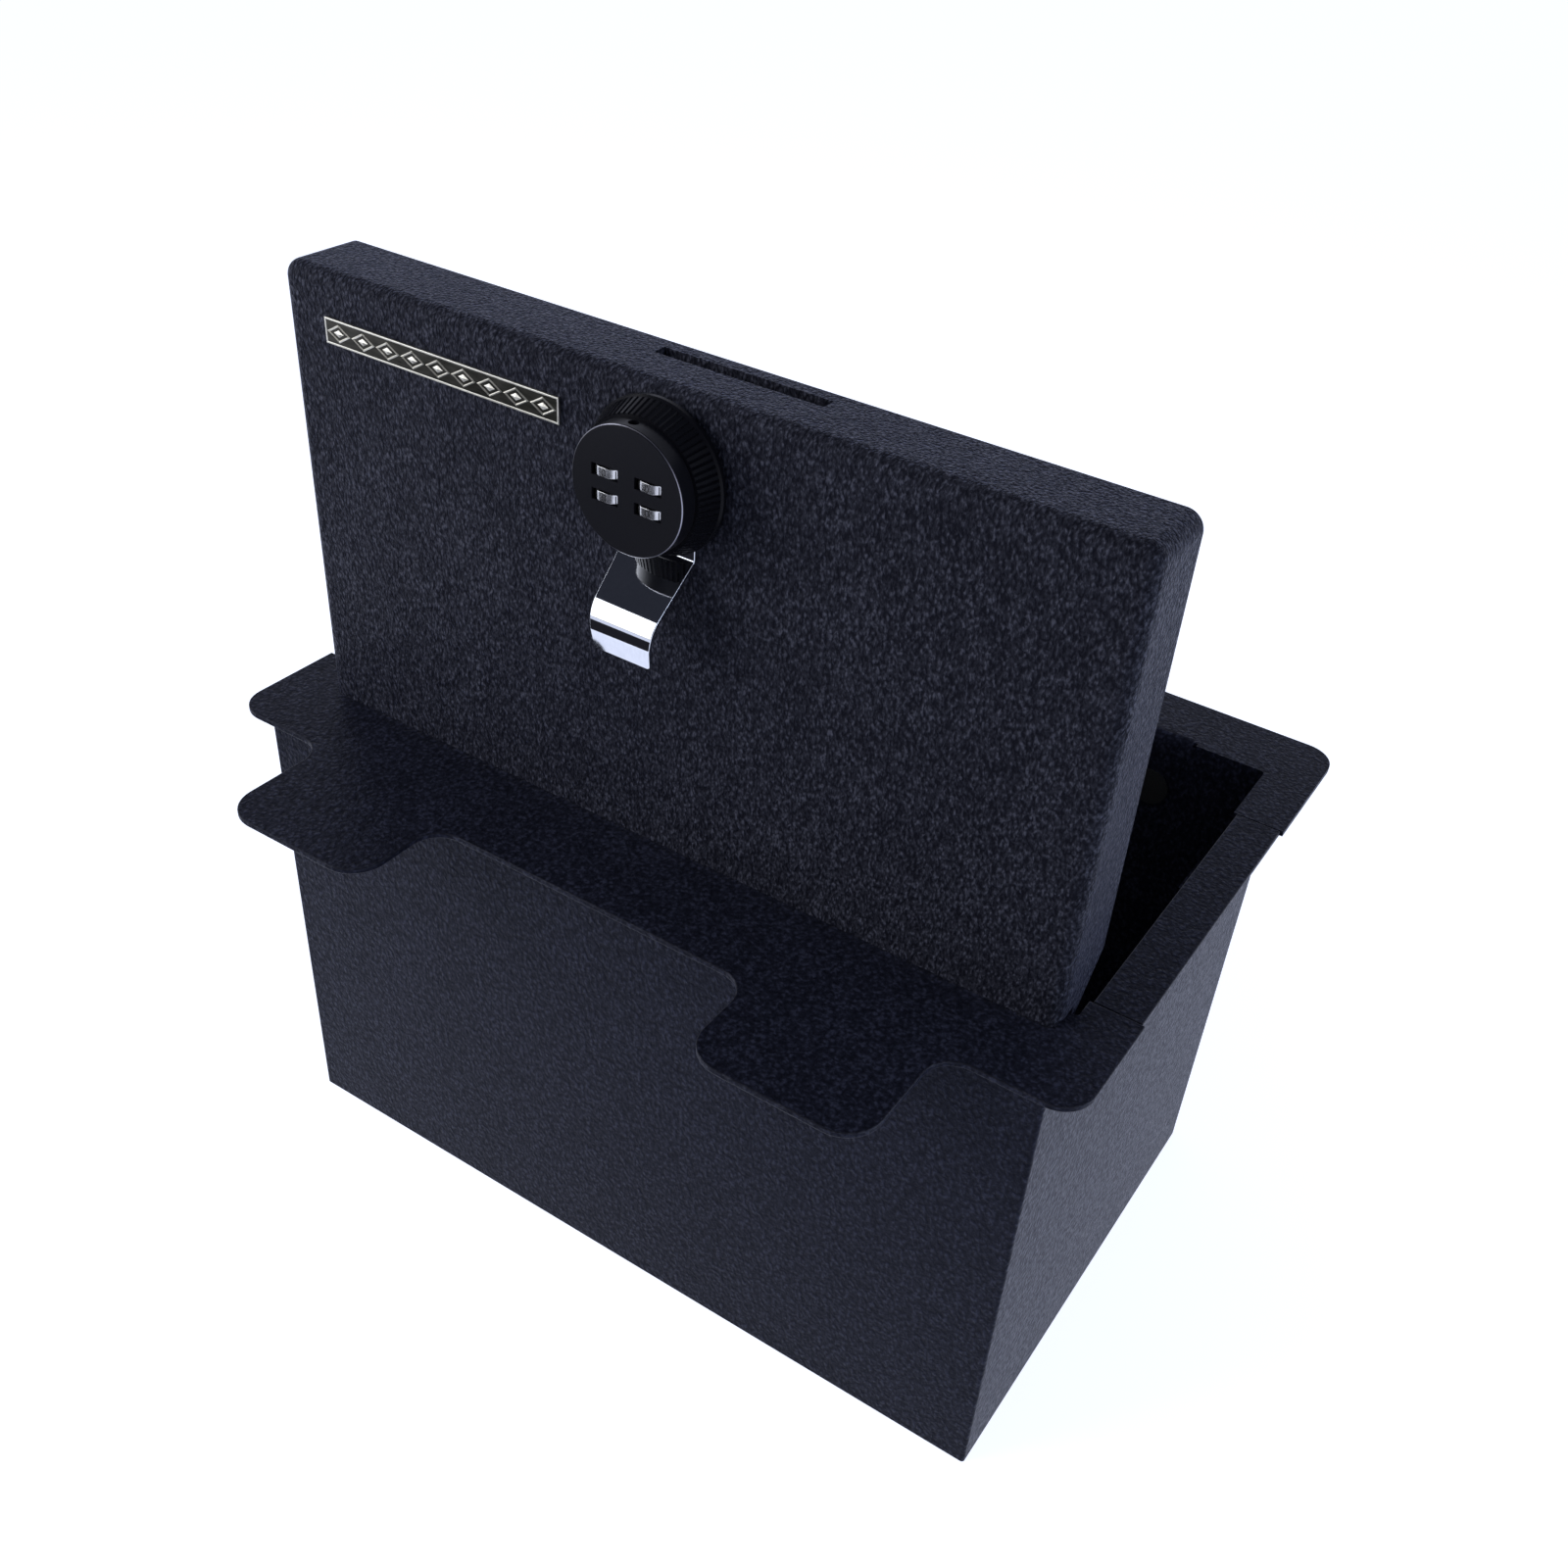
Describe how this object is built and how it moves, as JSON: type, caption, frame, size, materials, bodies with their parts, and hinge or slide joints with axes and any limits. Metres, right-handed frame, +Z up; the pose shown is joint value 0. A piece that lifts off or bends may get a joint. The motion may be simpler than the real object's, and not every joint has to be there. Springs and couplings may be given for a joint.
{
  "type": "console lock box",
  "caption": "Steel drop-in console lock box with a flanged tub, tabs that rest on the console rim, and an inset hinged lid with a combination knob, latch tongue and finger pull.",
  "frame": {"origin": "middle of the floor's underside", "axes": "+X along the hinge to the right, -Y the hinge side with the tabs, +Y the latch side, +Z up"},
  "size_m": [0.33, 0.2687, 0.3406],
  "materials": {
    "tub_coat": "fine textured powder coat, blue-black",
    "lid_coat": "coarse textured powder coat, blue-black",
    "zinc_steel": "zinc plated",
    "lock_brass": "plain machined",
    "chrome": "mirror polished",
    "knob_black": "satin black",
    "wheel_silver": "satin with plain dark digits",
    "carrier_plastic": "moulded",
    "nylon": "natural",
    "rubber": "matte",
    "plate_metal": "polished border",
    "plate_field": "dark enamel"
  },
  "bodies": {
    "tub": {"front_wall": "tub_coat", "rear_panel": "tub_coat", "left_wall": "tub_coat", "right_wall": "tub_coat", "floor_panel": "tub_coat", "front_flange_plate": "tub_coat", "left_flange_strip": "tub_coat", "right_flange_strip": "tub_coat", "left_hinge_block": "tub_coat", "right_hinge_block": "tub_coat", "hinge_pins": "zinc_steel", "hinge_washers": "nylon", "left_lid_rest": "tub_coat", "right_lid_rest": "tub_coat", "rest_bumpers": "rubber", "cable_plug": "rubber"},
    "lid": {"lid_shell": "lid_coat", "left_ear_doubler": "lid_coat", "right_ear_doubler": "lid_coat", "nameplate_tray": "plate_metal", "nameplate_inlay": "plate_field", "finger_pull": "chrome", "lock_barrel": "zinc_steel", "lock_backing_plate": "zinc_steel", "lock_nut": "zinc_steel", "tongue_guard": "lid_coat"},
    "knob": {"knob_skirt": "knob_black", "knob_face": "knob_black", "wheel_carrier": "carrier_plastic", "wheel_axles": "zinc_steel", "detent_springs": "zinc_steel", "lock_spindle": "lock_brass", "latch_tongue": "zinc_steel", "tongue_washer": "zinc_steel", "tongue_screw": "zinc_steel"},
    "wheel_1": {"number_wheel_1": "wheel_silver"},
    "wheel_2": {"number_wheel_2": "wheel_silver"},
    "wheel_3": {"number_wheel_3": "wheel_silver"},
    "wheel_4": {"number_wheel_4": "wheel_silver"}
  },
  "joints": [
    {"name": "lid_hinge", "type": "hinge", "parent": "tub", "child": "lid", "pos_m": [0, -0.0682, 0.1799], "axis": [1, 0, 0], "range_deg": [-90, 0]},
    {"name": "knob_turn", "type": "hinge", "parent": "lid", "child": "knob", "pos_m": [0, -0.0743, 0.3155], "axis": [0, -1, 0], "range_deg": [0, 90]},
    {"name": "wheel_1_turn", "type": "hinge", "parent": "knob", "child": "wheel_1", "pos_m": [-0.0073, -0.08545, 0.31915], "axis": [0, 0, 1], "continuous": true},
    {"name": "wheel_2_turn", "type": "hinge", "parent": "knob", "child": "wheel_2", "pos_m": [0.0073, -0.08545, 0.31915], "axis": [0, 0, 1], "continuous": true},
    {"name": "wheel_3_turn", "type": "hinge", "parent": "knob", "child": "wheel_3", "pos_m": [-0.0073, -0.08545, 0.31185], "axis": [0, 0, 1], "continuous": true},
    {"name": "wheel_4_turn", "type": "hinge", "parent": "knob", "child": "wheel_4", "pos_m": [0.0073, -0.08545, 0.31185], "axis": [0, 0, 1], "continuous": true}
  ]
}
